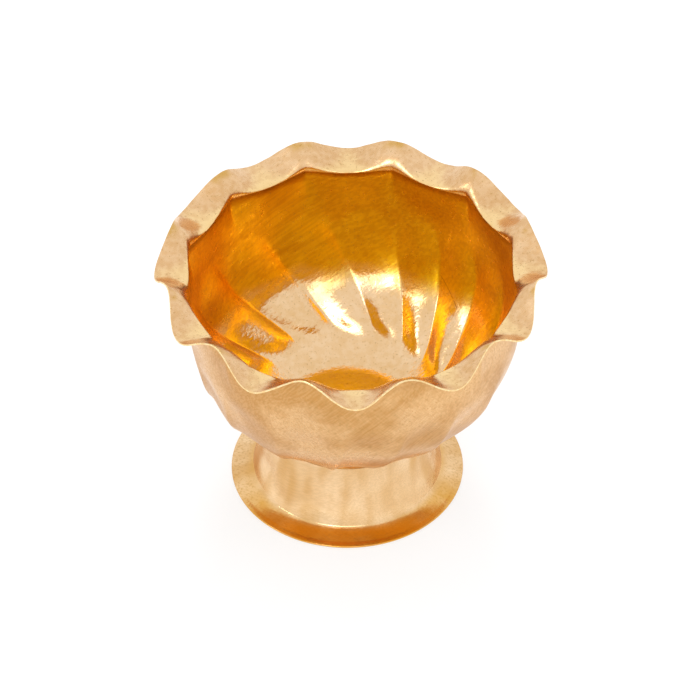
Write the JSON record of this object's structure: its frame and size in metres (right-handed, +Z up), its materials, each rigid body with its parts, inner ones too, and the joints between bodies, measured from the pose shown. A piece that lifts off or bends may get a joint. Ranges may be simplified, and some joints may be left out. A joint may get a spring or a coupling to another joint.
{
  "type": "footed bowl",
  "caption": "Small deep brass bowl with a ruffled lip and swirled flutes low on its wall, on a spun pedestal foot that is open underneath.",
  "frame": {"origin": "on the vertical axis through the centre of the rim's box, at the level of the surface the foot rests on", "axes": "+Z up out of the bowl's mouth, -Y towards the front, where a low dip of the ruffled lip faces, +X to the right seen from the front"},
  "size_m": [0.1522, 0.1556, 0.1131],
  "materials": {
    "bowl_brass": "hand-polished brass sheet, brighter inside, with fine scratches",
    "foot_brass": "satin brass sheet with turning and filing marks",
    "braze_filler": "dull brazing brass"
  },
  "bodies": {
    "root": {"fluted_bowl": "bowl_brass", "pedestal_foot": "foot_brass", "braze_joint": "braze_filler"}
  },
  "joints": []
}
